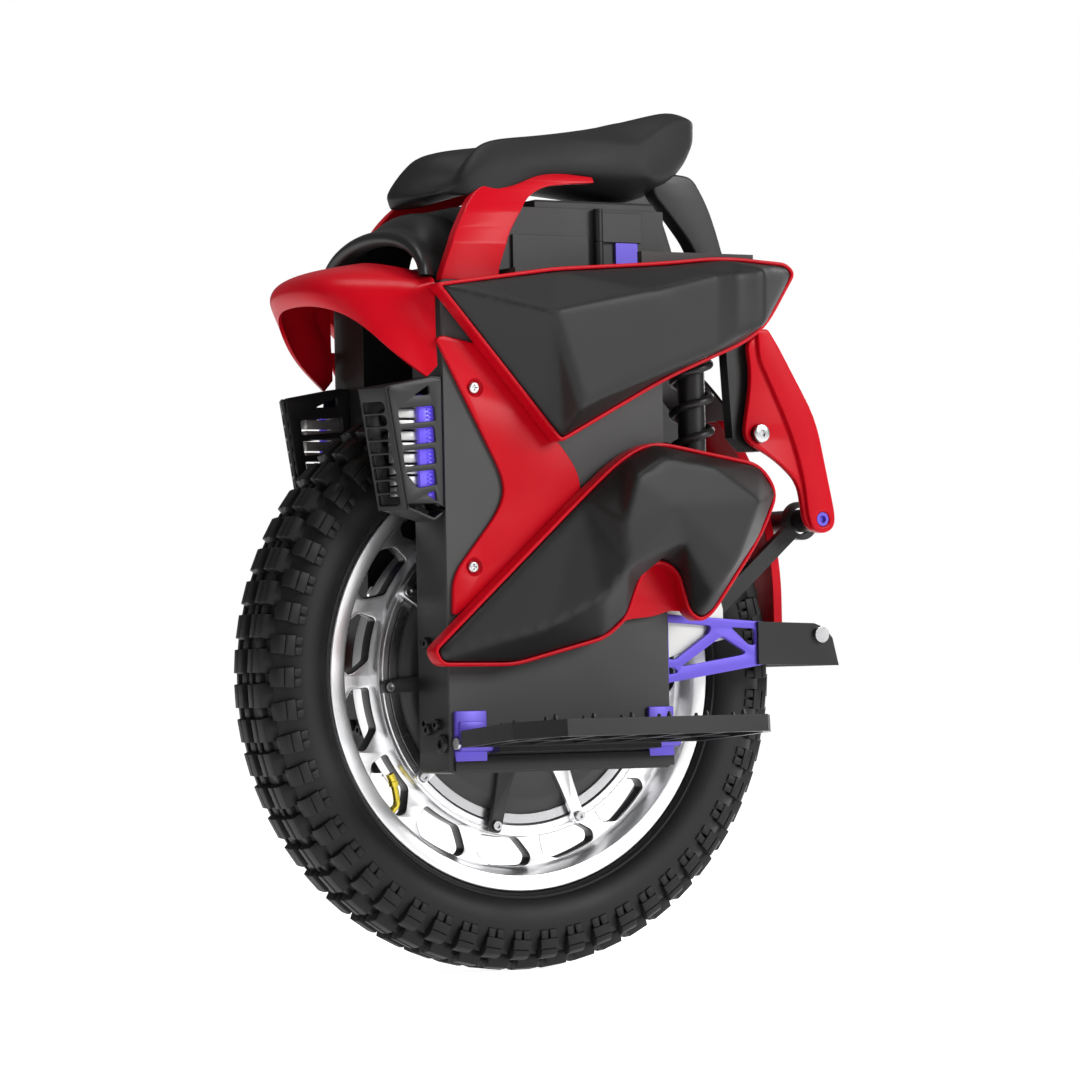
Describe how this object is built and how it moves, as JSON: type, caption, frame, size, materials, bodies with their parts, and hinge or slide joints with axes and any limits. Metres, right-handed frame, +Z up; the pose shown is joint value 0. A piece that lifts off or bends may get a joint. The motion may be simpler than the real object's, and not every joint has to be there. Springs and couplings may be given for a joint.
{
  "type": "electric unicycle",
  "caption": "Self-balancing electric wheel with knobbly tyre, sliding suspension in two legs, folding pedals, knee pads, front cowl and raised seat.",
  "frame": {"origin": "on the ground below the axle, at the flat face of the lowest tread block", "axes": "+X forward, +Y to the rider's left, +Z up"},
  "size_m": [0.5396, 0.4798, 0.738],
  "materials": {
    "red_paint": "gloss painted",
    "panel_grey": "matte moulded",
    "black_plastic": "satin moulded",
    "pad_foam": "smooth skinned foam",
    "seat_skin": "smooth grained",
    "tyre": "moulded rubber",
    "polished_alloy": "polished",
    "cast_alloy": "cast",
    "motor_black": "satin black",
    "steel": "machined",
    "brass": "plated",
    "violet_anodised": "anodised",
    "black_metal": "powder coated",
    "light_lens": "moulded",
    "circuit_green": "board",
    "battery_wrap": "shrink wrap"
  },
  "bodies": {
    "frame": {"battery_packs": "battery_wrap", "coil_springs": "black_metal", "control_board": "circuit_green", "control_box": "panel_grey", "control_box_lid": "panel_grey", "frame_bolts": "steel", "front_cowl": "red_paint", "guide_rods": "steel", "inner_guard": "black_plastic", "latch_tab": "violet_anodised", "left_lower_pad": "pad_foam", "left_upper_pad": "pad_foam", "leg_housings": "black_metal", "lower_pad_frames": "red_paint", "nose_dome": "black_plastic", "pad_brackets": "red_paint", "pedal_hangers": "violet_anodised", "pedal_pins": "steel", "pivot_brackets": "black_metal", "pod_heat_sinks": "cast_alloy", "pod_light_strips": "light_lens", "port_cover_pin": "black_plastic", "rear_fender": "red_paint", "rear_seat_struts": "black_plastic", "right_lower_pad": "pad_foam", "right_upper_pad": "pad_foam", "seat_arms": "red_paint", "seat_base": "black_plastic", "seat_cushion": "seat_skin", "shock_bodies": "black_metal", "side_panels": "panel_grey", "tail_bolt": "steel", "tail_plate": "black_metal", "tail_trusses": "violet_anodised", "top_deck": "panel_grey", "upper_pad_frames": "red_paint", "vent_pods": "black_plastic"},
    "carriage": {"sliders": "cast_alloy", "slider_bushings": "brass", "axle": "steel", "stator": "steel", "shock_rods": "steel"},
    "wheel": {"tyre": "tyre", "rim": "polished_alloy", "motor_drum": "steel", "magnets": "steel", "motor_side_plates": "motor_black", "motor_spiders": "polished_alloy", "wheel_screws": "steel", "valve_stem": "brass", "wheel_bearings": "steel"},
    "rocker": {"rocker_arms": "red_paint", "cross_tube": "black_metal", "rocker_bolts": "violet_anodised"},
    "links": {"push_links": "black_metal"},
    "left_pedal_body": {"left_pedal": "black_metal", "left_pedal_studs": "steel"},
    "right_pedal_body": {"right_pedal": "black_metal", "right_pedal_studs": "steel"},
    "cover": {"port_cover": "black_plastic"}
  },
  "joints": [
    {"name": "suspension_slide", "type": "slide", "parent": "frame", "child": "carriage", "axis": [0, 0, 1], "range_m": [0, 0.06], "stiffness_N_per_m": 15000, "springref_m": -0.02, "deforming": ["coil_springs"]},
    {"name": "wheel_spin", "type": "hinge", "parent": "carriage", "child": "wheel", "pos_m": [0, 0, 0.2525], "axis": [0, 1, 0], "continuous": true},
    {"name": "rocker_swing", "type": "hinge", "parent": "frame", "child": "rocker", "pos_m": [-0.204, 0, 0.455], "axis": [0, 1, 0], "range_deg": [-1, 21.5]},
    {"name": "link_swing", "type": "hinge", "parent": "carriage", "child": "links", "pos_m": [-0.16, 0, 0.29], "axis": [0, -1, 0], "range_deg": [-1, 18]},
    {"name": "left_pedal_fold", "type": "hinge", "parent": "frame", "child": "left_pedal_body", "pos_m": [0, 0.104, 0.195], "axis": [1, 0, 0], "range_deg": [0, 45]},
    {"name": "right_pedal_fold", "type": "hinge", "parent": "frame", "child": "right_pedal_body", "pos_m": [0, -0.104, 0.195], "axis": [-1, 0, 0], "range_deg": [0, 45]},
    {"name": "port_cover_swing", "type": "hinge", "parent": "frame", "child": "cover", "pos_m": [-0.066, 0.0565, 0.6325], "axis": [0, 0, -1], "range_deg": [0, 100]}
  ],
  "couplings": [
    {"joint": "rocker_swing", "follows": "suspension_slide", "rad_per_m": 5.8723},
    {"joint": "link_swing", "follows": "suspension_slide", "rad_per_m": 4.9036}
  ]
}
